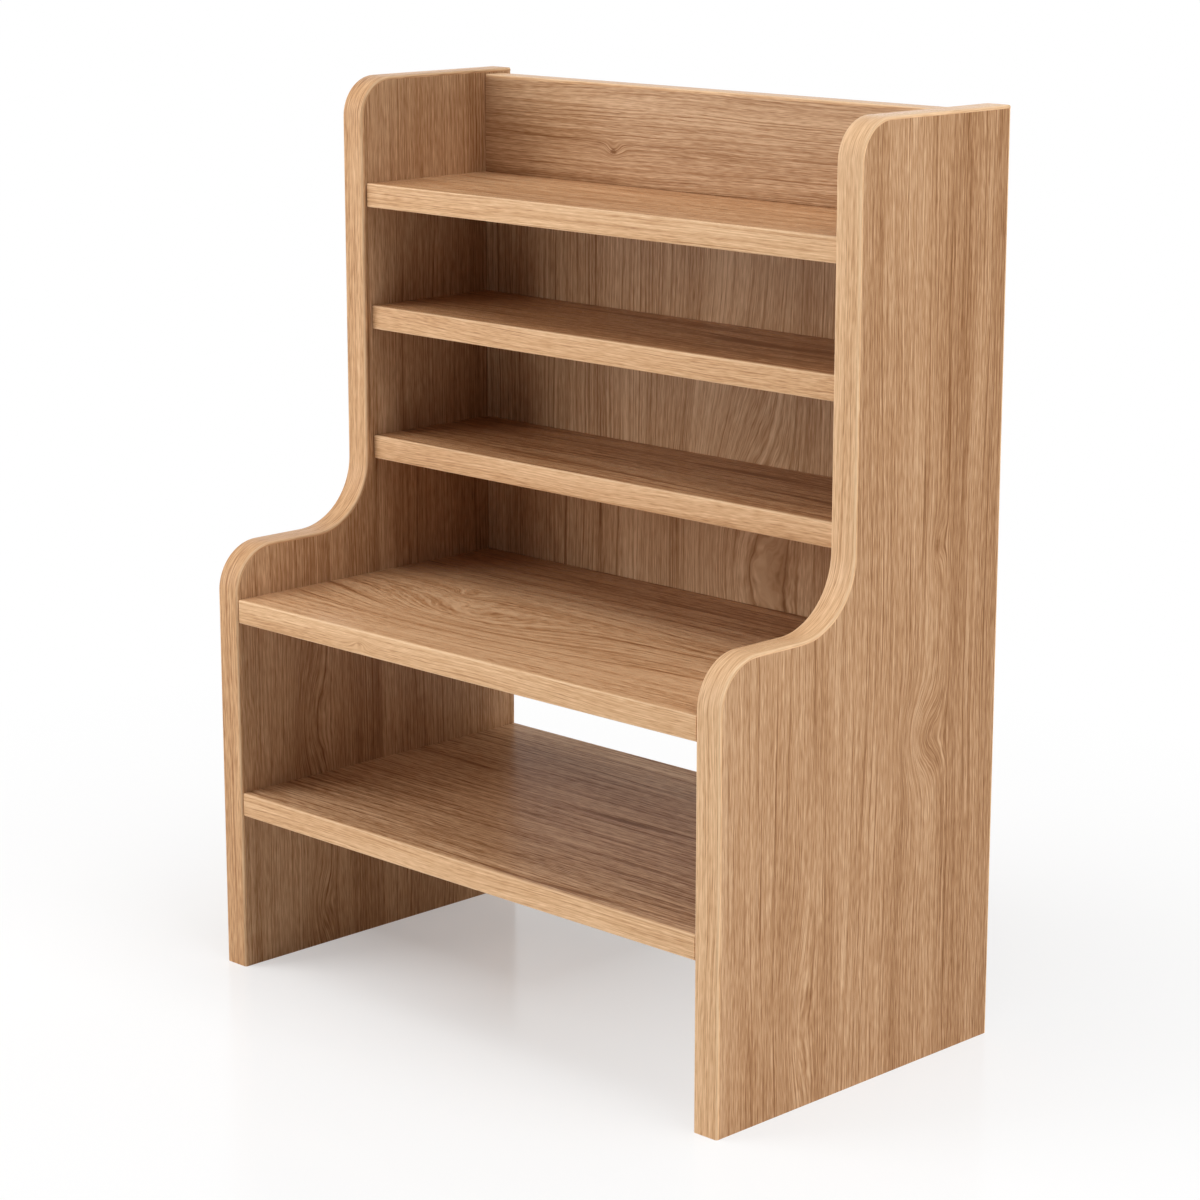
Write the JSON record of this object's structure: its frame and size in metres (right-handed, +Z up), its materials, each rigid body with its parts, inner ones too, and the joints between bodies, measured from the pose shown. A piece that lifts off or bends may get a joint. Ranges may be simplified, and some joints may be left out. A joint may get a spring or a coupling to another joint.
{
  "type": "desktop storage rack",
  "caption": "Stepped oak-look desktop rack: shaped sides with a rounded ledge hold deep lower shelves, shallow upper shelves with a back panel, and a top tray with a back rail.",
  "frame": {"origin": "on the surface that the rack stands on, under the middle of its footprint", "axes": "+X across the rack, +Y from its front to its back, +Z up"},
  "size_m": [0.43, 0.24, 0.56],
  "materials": {
    "oak_veneer": "satin natural oak veneer",
    "oak_edge": "satin natural oak edge strip, a little lighter than the faces",
    "beech": "raw pressed beech"
  },
  "bodies": {
    "root": {"back_panel": "oak_veneer", "back_panel_dowels": "beech", "back_rail": "oak_veneer", "back_rail_dowels": "beech", "back_rail_top_strip": "oak_edge", "bottom_shelf": "oak_veneer", "bottom_shelf_dowels": "beech", "bottom_shelf_front_strip": "oak_edge", "bottom_shelf_rear_strip": "oak_edge", "left_side_edge_strip": "oak_edge", "left_side_panel": "oak_veneer", "left_side_rear_strip": "oak_edge", "lower_narrow_shelf": "oak_veneer", "lower_narrow_shelf_dowels": "beech", "lower_narrow_shelf_front_strip": "oak_edge", "right_side_edge_strip": "oak_edge", "right_side_panel": "oak_veneer", "right_side_rear_strip": "oak_edge", "top_shelf": "oak_veneer", "top_shelf_dowels": "beech", "top_shelf_front_strip": "oak_edge", "top_shelf_rear_strip": "oak_edge", "upper_narrow_shelf": "oak_veneer", "upper_narrow_shelf_dowels": "beech", "upper_narrow_shelf_front_strip": "oak_edge", "wide_shelf": "oak_veneer", "wide_shelf_dowels": "beech", "wide_shelf_front_strip": "oak_edge", "wide_shelf_rear_strip": "oak_edge"}
  },
  "joints": []
}
